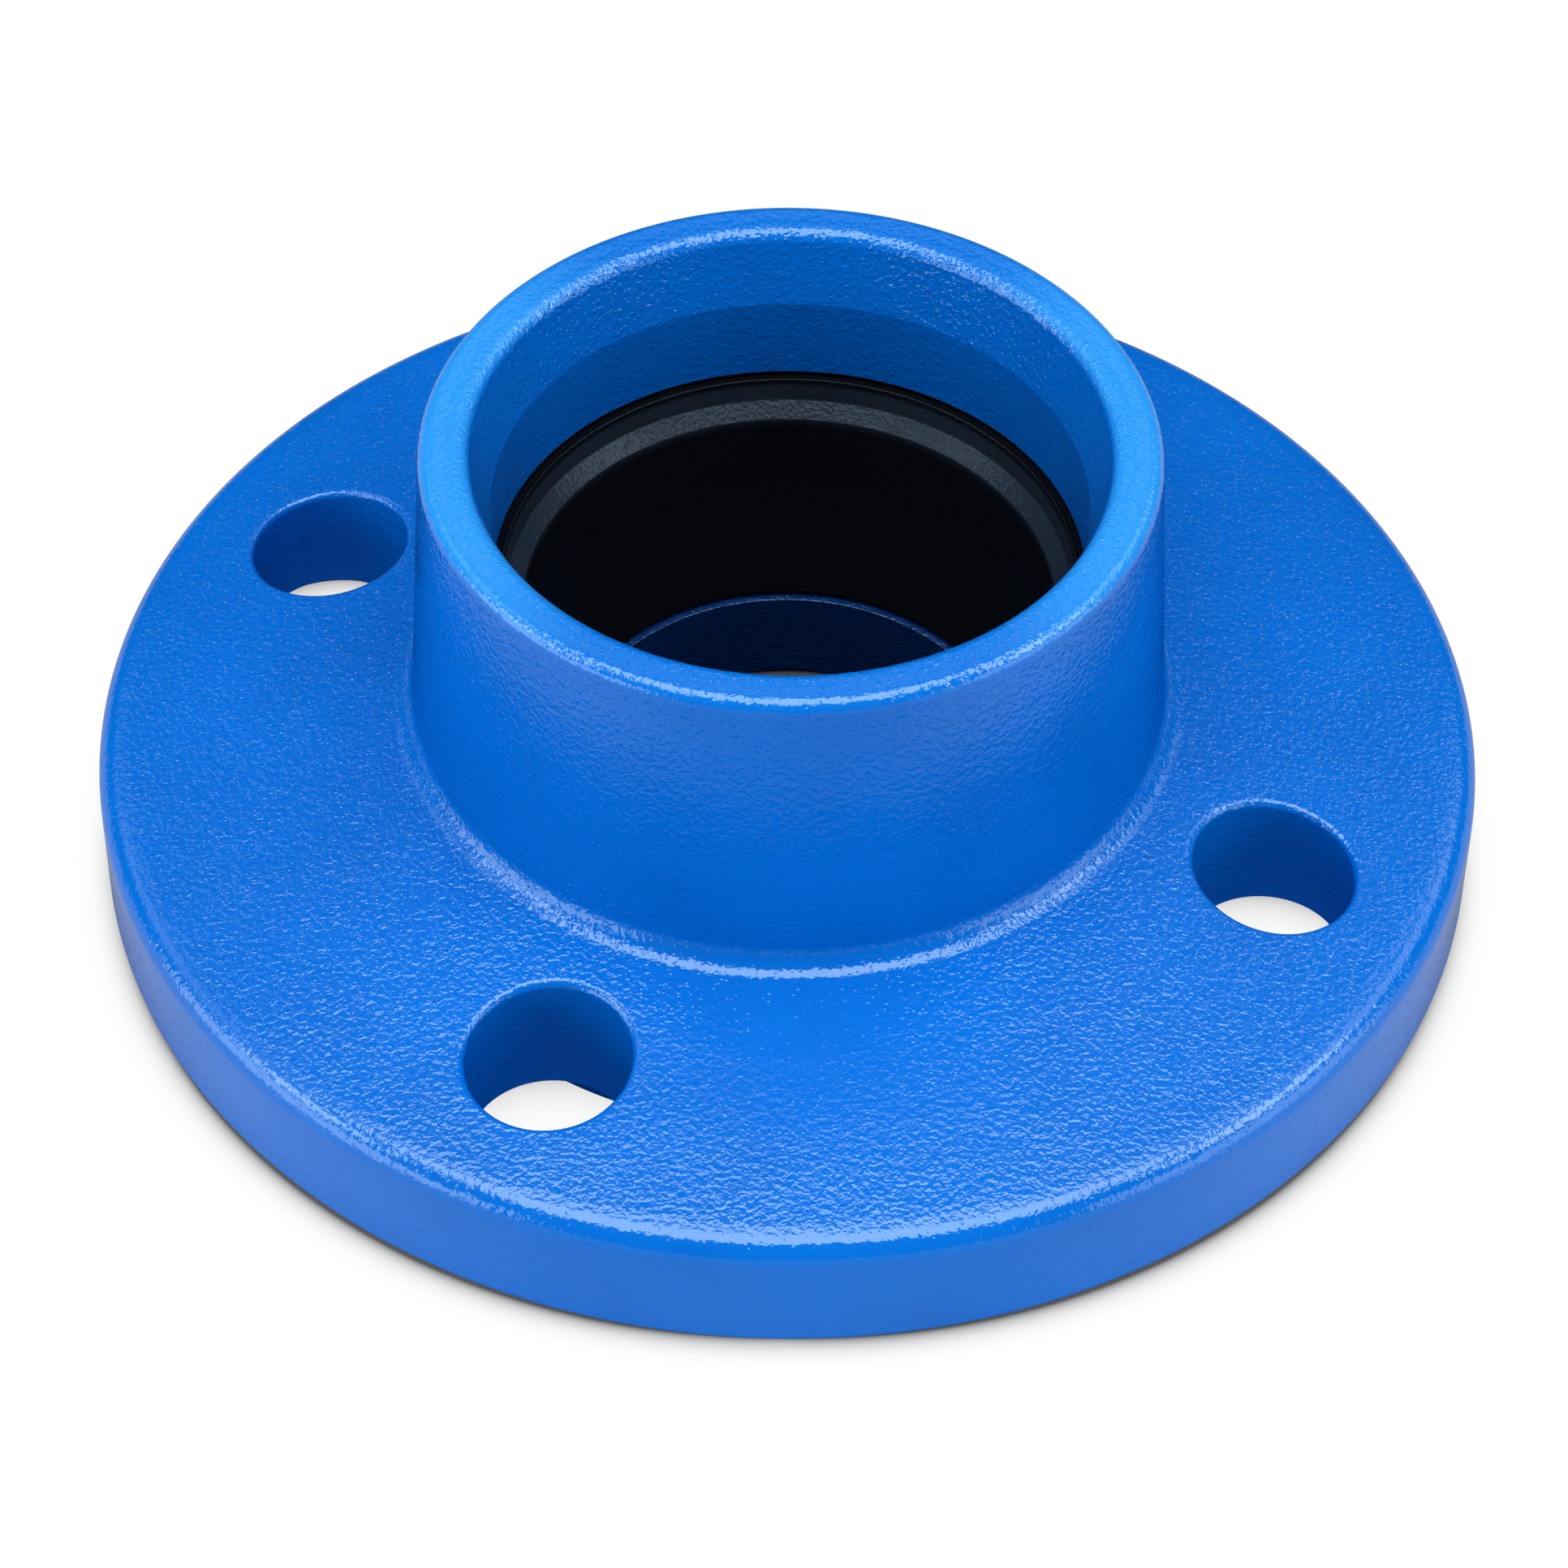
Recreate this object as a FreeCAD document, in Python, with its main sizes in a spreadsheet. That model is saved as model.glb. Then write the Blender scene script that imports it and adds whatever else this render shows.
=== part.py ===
import FreeCAD, Part
import math
import os

from FreeCAD import Rotation, Vector
import Sketcher

# A drilled flange with a short push-in pipe socket on its back, cast in one piece, and the rubber
# lip seal that sits in the socket. The socket's axis is Z. The sealing face of the flange lies on
# z = 0 and the socket opens upwards. Lengths are millimetres and angles are degrees.

SIZES = [
    # The drilled flange, nominal bore 50, pressure class 10 and 16.
    ("bolt_circle", 125.0, "diameter of the circle through the bolt holes"),
    ("bolt_hole", 19.0, "diameter of each bolt hole"),
    ("bolt_count", 4, "number of bolt holes"),
    ("bolt_turn", 65.0, "angle from X to the first bolt hole"),
    ("rim_margin", 10.5, "iron between a bolt hole and the rim"),
    ("rim_height", 15.5, "height of the rim above the sealing step"),
    ("back_slope", 8.5, "rise of the flange back towards the neck"),
    ("rim_round", 3.0, "rounding of the rim's upper edge"),
    ("rim_foot_round", 1.0, "rounding of the rim's lower edge"),
    ("hole_round", 1.2, "rounding of a bolt hole's upper edge"),
    ("hole_chamfer", 3.0, "chamfer of a bolt hole's lower edge"),
    ("face_height", 3.0, "height of the raised sealing face"),
    ("face_margin", 0.5, "gap between the raised face and the chamfers of the holes"),
    ("face_round", 0.6, "rounding of the raised face's edge"),
    # The socket, from the waterway up to the mouth.
    ("socket_bore", 69.0, "diameter of the plain bore that guides the pipe"),
    ("ledge_height", 12.9, "height of the ledge that stops the pipe"),
    ("ledge_width", 8.5, "radial width of that ledge"),
    ("chamber_length", 11.1, "from the ledge to the floor of the seal groove"),
    ("groove_length", 19.0, "height of the seal groove"),
    ("groove_depth", 3.5, "radial depth of the seal groove"),
    ("land_length", 10.9, "plain bore above the groove"),
    ("leadin_length", 9.1, "height of the cone at the mouth"),
    ("leadin_flare", 2.5, "radial widening of that cone"),
    ("lip_width", 5.5, "width of the mouth's top face"),
    ("lip_inner_round", 2.0, "rounding inside the mouth"),
    ("lip_outer_round", 1.2, "rounding outside the mouth"),
    ("neck_draft", 3.4, "taper of the neck's outside"),
    ("neck_fillet", 2.8, "fillet between neck and flange"),
    ("waterway_chamfer", 1.0, "chamfer at the lower end of the waterway"),
    ("ledge_round", 0.5, "rounding of the ledge's inner edge"),
    # The rubber seal, measured from the walls that hold it.
    ("seal_side_gap", 0.15, "clearance beside the seal in its groove"),
    ("seal_top_gap", 0.3, "clearance above the seal in its groove"),
    ("seal_notch_depth", 1.0, "depth of the step outside the crest"),
    ("seal_notch_inset", 0.4, "from the plain bore to the bottom of that step"),
    ("seal_crest_inset", 1.1, "from the plain bore to the crest"),
    ("seal_bend_inset", 1.4, "from the plain bore to the bend of the lead-in"),
    ("seal_bend_drop", 3.1, "height from the crest down to that bend"),
    ("seal_edge_inset", 3.3, "from the plain bore to the seal's upper inner edge"),
    ("seal_edge_drop", 4.7, "height from the crest down to that edge"),
    ("seal_waist_inset", 4.1, "from the plain bore to the waist of the lip"),
    ("seal_waist_rise", 2.5, "height of the waist above the groove's floor"),
    ("seal_waist_round", 26.0, "radius of the bend at the waist"),
    ("seal_tip_inset", 7.9, "from the plain bore to the lip's free edge"),
    ("seal_tip_gap", 0.6, "height of the lip's free edge above the ledge"),
    ("seal_tip_width", 1.9, "thickness of the lip at its free edge"),
    ("seal_root_width", 3.1, "thickness of the lip where it leaves the ring"),
    ("seal_root_rise", 4.6, "height of that root above the groove's floor"),
    ("seal_heel_width", 1.6, "width of the ring's heel on the groove's floor"),
    ("seal_round", 0.25, "rounding of the seal's edges"),
]

# Lengths that several features share, as expressions on the sheet.
SOCKET_R = "(Sizes.socket_bore / 2)"
WATERWAY_R = f"({SOCKET_R} - Sizes.ledge_width)"
GROOVE_R = f"({SOCKET_R} + Sizes.groove_depth)"
MOUTH_R = f"({SOCKET_R} + Sizes.leadin_flare)"
NECK_TOP_R = f"({MOUTH_R} + Sizes.lip_width)"
HOLE_R = "(Sizes.bolt_hole / 2)"
RIM_R = f"(Sizes.bolt_circle / 2 + {HOLE_R} + Sizes.rim_margin)"
FACE_R = f"(Sizes.bolt_circle / 2 - {HOLE_R} - Sizes.hole_chamfer - Sizes.face_margin)"

LEDGE_Z = "Sizes.ledge_height"
GROOVE_FLOOR_Z = f"({LEDGE_Z} + Sizes.chamber_length)"
GROOVE_ROOF_Z = f"({GROOVE_FLOOR_Z} + Sizes.groove_length)"
LAND_TOP_Z = f"({GROOVE_ROOF_Z} + Sizes.land_length)"
MOUTH_Z = f"({LAND_TOP_Z} + Sizes.leadin_length)"
STEP_Z = "Sizes.face_height"
RIM_TOP_Z = f"({STEP_Z} + Sizes.rim_height)"

# The flange's back and the neck's outside are two slanted lines that meet at the neck's foot.
BACK_RISE = "tan(Sizes.back_slope * 1 deg)"
NECK_FLARE = "tan(Sizes.neck_draft * 1 deg)"
FOOT_R = (f"(({NECK_TOP_R} + {NECK_FLARE} * ({MOUTH_Z} - {RIM_TOP_Z} - {BACK_RISE} * {RIM_R}))"
          f" / (1 - {NECK_FLARE} * {BACK_RISE}))")
FOOT_Z = f"({RIM_TOP_Z} + {BACK_RISE} * ({RIM_R} - {FOOT_R}))"

SEAL_R = f"({GROOVE_R} - Sizes.seal_side_gap)"
SEAL_TOP_Z = f"({GROOVE_ROOF_Z} - Sizes.seal_top_gap)"
CREST_Z = GROOVE_ROOF_Z
WAIST_R = f"({SOCKET_R} - Sizes.seal_waist_inset)"
WAIST_Z = f"({GROOVE_FLOOR_Z} + Sizes.seal_waist_rise)"
TIP_R = f"({SOCKET_R} - Sizes.seal_tip_inset)"
TIP_Z = f"({LEDGE_Z} + Sizes.seal_tip_gap)"
ROOT_Z = f"({GROOVE_FLOOR_Z} + Sizes.seal_root_rise)"

CASTING_OUTLINE = [
    (WATERWAY_R, "0"),
    (FACE_R, "0"),
    (FACE_R, STEP_Z),
    (RIM_R, STEP_Z),
    (RIM_R, RIM_TOP_Z),
    (FOOT_R, FOOT_Z),
    (NECK_TOP_R, MOUTH_Z),
    (MOUTH_R, MOUTH_Z),
    (SOCKET_R, LAND_TOP_Z),
    (SOCKET_R, GROOVE_ROOF_Z),
    (GROOVE_R, GROOVE_ROOF_Z),
    (GROOVE_R, GROOVE_FLOOR_Z),
    (SOCKET_R, GROOVE_FLOOR_Z),
    (SOCKET_R, LEDGE_Z),
    (WATERWAY_R, LEDGE_Z),
]

# The bolt hole's tool, seen from the hole's own axis: a drill with a chamfering shoulder.
DRILL_OUTLINE = [
    ("0", "0"),
    (f"({HOLE_R} + Sizes.hole_chamfer)", "0"),
    (f"({HOLE_R} + Sizes.hole_chamfer)", STEP_Z),
    (HOLE_R, f"({STEP_Z} + Sizes.hole_chamfer)"),
    (HOLE_R, MOUTH_Z),
    ("0", MOUTH_Z),
]

SEAL_OUTLINE = [
    (SEAL_R, GROOVE_FLOOR_Z),
    (SEAL_R, SEAL_TOP_Z),
    (f"({SOCKET_R} + Sizes.seal_notch_inset)", SEAL_TOP_Z),
    (f"({SOCKET_R} - Sizes.seal_notch_inset)", f"({CREST_Z} - Sizes.seal_notch_depth)"),
    (f"({SOCKET_R} - Sizes.seal_crest_inset)", CREST_Z),
    (f"({SOCKET_R} - Sizes.seal_bend_inset)", f"({CREST_Z} - Sizes.seal_bend_drop)"),
    (f"({SOCKET_R} - Sizes.seal_edge_inset)", f"({CREST_Z} - Sizes.seal_edge_drop)"),
    (WAIST_R, WAIST_Z),
    (TIP_R, TIP_Z),
    (f"({TIP_R} + Sizes.seal_tip_width)", TIP_Z),
    (f"({WAIST_R} + Sizes.seal_root_width)", ROOT_Z),
    (f"({SEAL_R} - Sizes.seal_heel_width)", GROOVE_FLOOR_Z),
]

ON_EDGE = 0.01


def fill_sheet(doc):
    """Write the driving sizes into the document's sheet, one alias to a row."""
    sheet = doc.addObject("Spreadsheet::Sheet", "Sizes")
    for row, (alias, size, note) in enumerate(SIZES, start=1):
        sheet.set(f"A{row}", alias)
        sheet.set(f"B{row}", str(size))
        sheet.setAlias(f"B{row}", alias)
        sheet.set(f"C{row}", note)
    doc.recompute()
    return sheet


def number(sheet, expression):
    """Return what an expression on the sheet comes to."""
    return float(sheet.evalExpression(expression))


def origin_feature(body, role):
    """Return the body's own origin plane or axis of that role."""
    return next(item for item in body.Origin.OriginFeatures if item.Role == role)


def outline_sketch(body, sheet, name, corners):
    """Draw a closed outline of straight lines on the body's XZ plane, each corner held by the sheet."""
    sketch = body.newObject("Sketcher::SketchObject", name)
    sketch.AttachmentSupport = [(origin_feature(body, "XZ_Plane"), "")]
    sketch.MapMode = "FlatFace"
    points = [Vector(number(sheet, x), number(sheet, y), 0) for x, y in corners]
    count = len(points)
    for index, point in enumerate(points):
        sketch.addGeometry(Part.LineSegment(point, points[(index + 1) % count]), False)
    for index in range(count):
        sketch.addConstraint(Sketcher.Constraint("Coincident", index, 2, (index + 1) % count, 1))
    for index, corner in enumerate(corners):
        for kind, axis, expression in (("DistanceX", -2, corner[0]), ("DistanceY", -1, corner[1])):
            if expression == "0":
                sketch.addConstraint(Sketcher.Constraint("PointOnObject", index, 1, axis))
                continue
            start = number(sheet, expression)
            held = sketch.addConstraint(Sketcher.Constraint(kind, -1, 1, index, 1, start))
            sketch.renameConstraint(held, f"corner{index}{kind[-1]}")
            sketch.setExpression(f"Constraints.corner{index}{kind[-1]}", expression)
    return sketch


def revolve(body, kind, name, sketch):
    """Turn a sketch about its own vertical axis, to add to the body or cut from it."""
    feature = body.newObject(kind, name)
    feature.Profile = (sketch, [""])
    feature.ReferenceAxis = (sketch, ["V_Axis"])
    feature.Angle = 360
    return feature


def ring_edges(shape, sheet, rings):
    """Name the circular edges about Z that pass through the given corners of an outline."""
    names = []
    for radius_text, height_text in rings:
        radius = number(sheet, radius_text)
        height = number(sheet, height_text)
        found = []
        for index, edge in enumerate(shape.Edges, start=1):
            if not isinstance(edge.Curve, Part.Circle):
                continue
            centre = edge.Curve.Center
            off_axis = math.hypot(centre.x, centre.y)
            off_size = max(abs(edge.Curve.Radius - radius), abs(centre.z - height), off_axis)
            if off_size < ON_EDGE:
                found.append(f"Edge{index}")
        if not found:
            raise RuntimeError(f"no edge at radius {radius:.2f} and height {height:.2f}")
        names += found
    return names


def hole_rims(shape, sheet):
    """Name the edges where the bolt holes break out through the flange's back."""
    radius = number(sheet, HOLE_R)
    circle = number(sheet, "Sizes.bolt_circle / 2")
    count = int(number(sheet, "Sizes.bolt_count"))
    shoulder = number(sheet, f"{STEP_Z} + Sizes.hole_chamfer") + ON_EDGE
    names = set()
    for turn in range(count):
        angle = 2 * math.pi * turn / count
        axis_x = circle * math.cos(angle)
        axis_y = circle * math.sin(angle)
        rim = []
        for index, edge in enumerate(shape.Edges, start=1):
            if isinstance(edge.Curve, Part.Line) or edge.BoundBox.ZMin < shoulder:
                continue
            ends = [edge.valueAt(edge.FirstParameter), edge.valueAt(edge.LastParameter)]
            if all(abs(math.hypot(end.x - axis_x, end.y - axis_y) - radius) < ON_EDGE for end in ends):
                rim.append(f"Edge{index}")
        if not rim:
            raise RuntimeError(f"bolt hole {turn + 1} has no upper edge")
        names.update(rim)
    return sorted(names)


def dress(doc, body, kind, name, base, edges, size_name, alias):
    """Round or chamfer edges of the body's last feature, with the size bound to the sheet."""
    feature = body.newObject(kind, name)
    feature.Base = (base, edges)
    feature.setExpression(size_name, f"Sizes.{alias}")
    doc.recompute()
    return feature


def build_flange_body(doc, sheet):
    """Cast the flange and neck, drill the bolt holes, and round what is rounded on the casting."""
    body = doc.addObject("PartDesign::Body", "FlangeBody")
    body.Label = "flange_body"
    outline = outline_sketch(body, sheet, "CastingOutline", CASTING_OUTLINE)
    last = revolve(body, "PartDesign::Revolution", "Casting", outline)
    doc.recompute()
    fillets = [
        ("RimRound", "rim_round", [(RIM_R, RIM_TOP_Z)]),
        ("RimFootRound", "rim_foot_round", [(RIM_R, STEP_Z)]),
        ("FaceRound", "face_round", [(FACE_R, "0")]),
        ("NeckFillet", "neck_fillet", [(FOOT_R, FOOT_Z)]),
        ("LipOuterRound", "lip_outer_round", [(NECK_TOP_R, MOUTH_Z)]),
        ("LipInnerRound", "lip_inner_round", [(MOUTH_R, MOUTH_Z)]),
        ("LedgeRound", "ledge_round", [(WATERWAY_R, LEDGE_Z)]),
    ]
    for name, alias, rings in fillets:
        edges = ring_edges(last.Shape, sheet, rings)
        last = dress(doc, body, "PartDesign::Fillet", name, last, edges, "Radius", alias)
    edges = ring_edges(last.Shape, sheet, [(WATERWAY_R, "0")])
    last = dress(doc, body, "PartDesign::Chamfer", "WaterwayChamfer", last, edges, "Size",
                 "waterway_chamfer")

    solid_volume = last.Shape.Volume
    drill = outline_sketch(body, sheet, "DrillOutline", DRILL_OUTLINE)
    drill.setExpression("AttachmentOffset.Base.x", "Sizes.bolt_circle / 2")
    hole = revolve(body, "PartDesign::Groove", "BoltHole", drill)
    pattern = body.newObject("PartDesign::PolarPattern", "BoltHoles")
    pattern.Originals = [hole]
    pattern.Axis = (origin_feature(body, "Z_Axis"), [""])
    pattern.Angle = 360
    pattern.setExpression("Occurrences", "Sizes.bolt_count")
    body.Tip = pattern
    doc.recompute()
    drilled = solid_volume - pattern.Shape.Volume
    one_hole = number(sheet, f"pi * {HOLE_R} ^ 2 * Sizes.rim_height")
    if drilled < one_hole * number(sheet, "Sizes.bolt_count"):
        raise RuntimeError("the bolt holes don't pass through the flange")
    rims = hole_rims(pattern.Shape, sheet)
    dress(doc, body, "PartDesign::Fillet", "HoleRound", pattern, rims, "Radius", "hole_round")
    body.Placement.Rotation = Rotation(Vector(0, 0, 1), 0)
    body.setExpression("Placement.Rotation.Angle", "Sizes.bolt_turn * 1 deg")
    return body


def build_pipe_seal(doc, sheet):
    """Mould the rubber ring that fills the groove, with its lead-in and its hanging lip."""
    body = doc.addObject("PartDesign::Body", "PipeSeal")
    body.Label = "pipe_seal"
    outline = outline_sketch(body, sheet, "SealOutline", SEAL_OUTLINE)
    last = revolve(body, "PartDesign::Revolution", "Ring", outline)
    doc.recompute()
    edges = ring_edges(last.Shape, sheet, [(WAIST_R, WAIST_Z)])
    last = dress(doc, body, "PartDesign::Fillet", "WaistRound", last, edges, "Radius",
                 "seal_waist_round")
    edges = ring_edges(last.Shape, sheet, SEAL_OUTLINE[3:7] + SEAL_OUTLINE[8:10])
    dress(doc, body, "PartDesign::Fillet", "EdgeRound", last, edges, "Radius", "seal_round")
    return body


def export(doc, bodies):
    """Check every object and shape, then write one file for each body."""
    doc.recompute()
    failed = [item.Name for item in doc.Objects if {"Invalid", "Error"} & set(item.State)]
    if failed:
        raise RuntimeError(f"failed objects: {failed}")
    for body in bodies:
        if body.Shape.isNull() or not body.Shape.isValid():
            raise RuntimeError(f"{body.Label} has no valid shape")
    os.makedirs("parts", exist_ok=True)
    for body in bodies:
        body.Shape.exportStep(f"parts/{body.Label}.step")
        box = body.Shape.BoundBox
        print(f"{body.Label}: {len(body.Shape.Solids)} solid, {body.Shape.Volume / 1000:.1f} cm3, "
              f"{box.XLength:.2f} x {box.YLength:.2f} x {box.ZLength:.2f} mm from z {box.ZMin:.2f}")


def main():
    doc = FreeCAD.newDocument("FlangeAdapter")
    sheet = fill_sheet(doc)
    export(doc, [build_flange_body(doc, sheet), build_pipe_seal(doc, sheet)])


main()
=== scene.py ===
"""The looks of a blue coated flange adapter with a rubber lip seal in its socket.

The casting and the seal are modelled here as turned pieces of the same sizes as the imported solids,
with finer rings and rounded edges, and get their coating, rubber, studio and camera.
"""

import logging
import math
from dataclasses import dataclass
from enum import Enum
from functools import reduce
from typing import Callable, ClassVar, Sequence

import bmesh
import bpy
from mathutils import Matrix, Vector


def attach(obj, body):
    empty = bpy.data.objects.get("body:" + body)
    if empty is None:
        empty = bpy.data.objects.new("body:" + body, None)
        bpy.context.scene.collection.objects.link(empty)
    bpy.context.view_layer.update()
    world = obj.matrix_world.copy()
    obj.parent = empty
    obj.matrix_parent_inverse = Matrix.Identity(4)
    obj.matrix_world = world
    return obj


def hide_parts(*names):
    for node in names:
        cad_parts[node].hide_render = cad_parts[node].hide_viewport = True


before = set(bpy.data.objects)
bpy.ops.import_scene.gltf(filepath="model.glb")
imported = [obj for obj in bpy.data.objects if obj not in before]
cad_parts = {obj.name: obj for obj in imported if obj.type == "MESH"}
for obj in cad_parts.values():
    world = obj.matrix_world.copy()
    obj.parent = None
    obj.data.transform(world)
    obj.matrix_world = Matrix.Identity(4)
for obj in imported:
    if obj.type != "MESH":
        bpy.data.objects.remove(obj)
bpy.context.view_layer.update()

log = logging.getLogger("flange_adapter")

Colour = tuple[float, float, float]
Place = tuple[float, float, float]
Spot = tuple[float, float]
Span = tuple[float, float]
Check = Callable[[Vector], bool]
Node = bpy.types.Node
Socket = bpy.types.NodeSocket
Sockets = bpy.types.bpy_prop_collection

MM = 0.001
# Two places closer than this are the same ring or edge.
NEAR = 0.02 * MM
# A face whose normal points up more than this is nearly level.
LEVEL = 0.9
# What a stretch is mapped onto.
RISE: Span = (0.0, 1.0)
FALL: Span = (1.0, 0.0)


class Slot(Enum):
    """The record's material slots."""

    COATING = "flange_coating"
    RUBBER = "seal_rubber"


class Rays(Enum):
    """The kinds of ray that a studio surface answers in its own way."""

    CAMERA = "Is Camera Ray"
    GLOSSY = "Is Glossy Ray"
    TRANSMISSION = "Is Transmission Ray"


@dataclass(frozen=True)
class Corner:
    """A corner of a turned piece's section: its radius, height and rounding, in mm."""

    radius: float
    height: float
    rounding: float = 0.0
    steps: int = 3


def radial(point: Vector) -> float:
    """Return a point's distance from the socket's axis, in metres."""
    return math.hypot(point.x, point.y)


@dataclass
class EditedPiece:
    """A mesh that is shaped with the editing operators and ends as a finished piece."""

    name: str
    piece: bpy.types.Object | None = None

    def open(self, segments: int, radius: float, height: float, turn: float) -> None:
        """Start the piece as a bare ring and enter edit mode.

        Args:
            segments: Number of edges in the ring.
            radius: Radius of the ring in metres.
            height: Height of the ring in metres.
            turn: Turn of its first vertex in radians.
        """
        bpy.ops.object.select_all(action="DESELECT")
        bpy.ops.mesh.primitive_circle_add(
            vertices=segments, radius=radius, fill_type="NOTHING", location=(0, 0, height)
        )
        self.piece = bpy.context.object
        self.piece.name = self.piece.data.name = self.name
        self.piece.rotation_euler.z = turn
        bpy.ops.object.transform_apply(location=True, rotation=True, scale=True)
        bpy.ops.object.mode_set(mode="EDIT")
        bpy.ops.mesh.select_mode(type="EDGE")
        bpy.ops.mesh.select_all(action="SELECT")

    def mesh(self) -> bmesh.types.BMesh:
        """Return the mesh that is being edited."""
        return bmesh.from_edit_mesh(self.piece.data)

    def pick_edges(self, keep: Check, open_only: bool = False) -> int:
        """Select the edges whose two ends pass a check.

        Args:
            keep: The check for a point.
            open_only: Whether only edges at an opening count.

        Returns:
            How many edges were selected.
        """
        bpy.ops.mesh.select_all(action="DESELECT")
        found = 0
        for edge in self.mesh().edges:
            if open_only and len(edge.link_faces) > 1:
                continue
            if all(keep(vert.co) for vert in edge.verts):
                edge.select_set(True)
                found += 1
        self.mesh().select_flush_mode()
        bmesh.update_edit_mesh(self.piece.data)
        return found

    def pick_faces(self, keep: Callable[[bmesh.types.BMFace], bool]) -> int:
        """Select the faces that pass a check.

        Args:
            keep: The check for a face.

        Returns:
            How many faces were selected.
        """
        bpy.ops.mesh.select_mode(type="FACE")
        bpy.ops.mesh.select_all(action="DESELECT")
        found = [face for face in self.mesh().faces if keep(face)]
        for face in found:
            face.select_set(True)
        bmesh.update_edit_mesh(self.piece.data)
        return len(found)

    def step_ring(self, rise: float, growth: float) -> None:
        """Extrude the selected ring upwards and widen it about its own centre.

        Args:
            rise: Height of the step in metres.
            growth: New radius as a share of the old one.
        """
        bpy.ops.mesh.extrude_edges_move(TRANSFORM_OT_translate={"value": (0, 0, rise)})
        if not math.isclose(growth, 1.0):
            bpy.ops.transform.resize(value=(growth, growth, 1))

    def round_edges(self, reach: float, steps: int) -> None:
        """Bevel the selected edges into an arc.

        Args:
            reach: How far the arc reaches along each face, in mm.
            steps: Number of segments in the arc.
        """
        bpy.ops.mesh.bevel(
            offset_type="OFFSET", offset=reach * MM, segments=steps, profile=0.5,
            affect="EDGES", clamp_overlap=True,
        )

    def close(self, smooth_angle: float) -> bpy.types.Object:
        """Leave edit mode and shade the piece, with its large faces kept true.

        Args:
            smooth_angle: Largest angle in degrees between faces that shade as one.

        Returns:
            The finished piece.
        """
        bpy.ops.mesh.select_all(action="SELECT")
        bpy.ops.mesh.normals_make_consistent(inside=False)
        bpy.ops.object.mode_set(mode="OBJECT")
        bpy.ops.object.shade_smooth_by_angle(angle=math.radians(smooth_angle))
        weighting = self.piece.modifiers.new("TrueFaces", "WEIGHTED_NORMAL")
        weighting.keep_sharp = True
        bpy.ops.object.modifier_apply(modifier=weighting.name)
        return self.piece


@dataclass
class TurnedPiece(EditedPiece):
    """A piece whose section is a closed line of corners, turned about the socket's axis."""

    corners: Sequence[Corner] = ()
    segments: int = 256
    turn: float = 0.0

    def raise_section(self) -> None:
        """Extrude ring after ring along the section and join the last ring to the first."""
        first = self.corners[0]
        self.open(self.segments, first.radius * MM, first.height * MM, math.radians(self.turn))
        path = [*self.corners, first]
        for before, after in zip(path, path[1:]):
            rise = (after.height - before.height) * MM
            self.step_ring(rise, after.radius / before.radius)
        bpy.ops.mesh.select_all(action="SELECT")
        bpy.ops.mesh.remove_doubles(threshold=NEAR)
        bpy.ops.mesh.normals_make_consistent(inside=False)

    def turning(self, index: int) -> float:
        """Return the angle in radians by which the section turns at a corner.

        Args:
            index: Number of the corner.

        Returns:
            The turning angle, 0 on a straight line.
        """
        ring = self.corners
        here = ring[index]
        before = ring[index - 1]
        after = ring[(index + 1) % len(ring)]
        arriving = math.atan2(here.height - before.height, here.radius - before.radius)
        leaving = math.atan2(after.height - here.height, after.radius - here.radius)
        return abs((leaving - arriving + math.pi) % (2 * math.pi) - math.pi)

    def round_corners(self) -> None:
        """Bevel each corner that has a rounding into an arc that meets both faces."""
        for index, corner in enumerate(self.corners):
            if not corner.rounding:
                continue
            reach = corner.rounding * math.tan(self.turning(index) / 2)
            self.pick_edges(
                lambda p, c=corner: abs(radial(p) - c.radius * MM) < NEAR
                and abs(p.z - c.height * MM) < NEAR
            )
            self.round_edges(reach, corner.steps)


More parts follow.
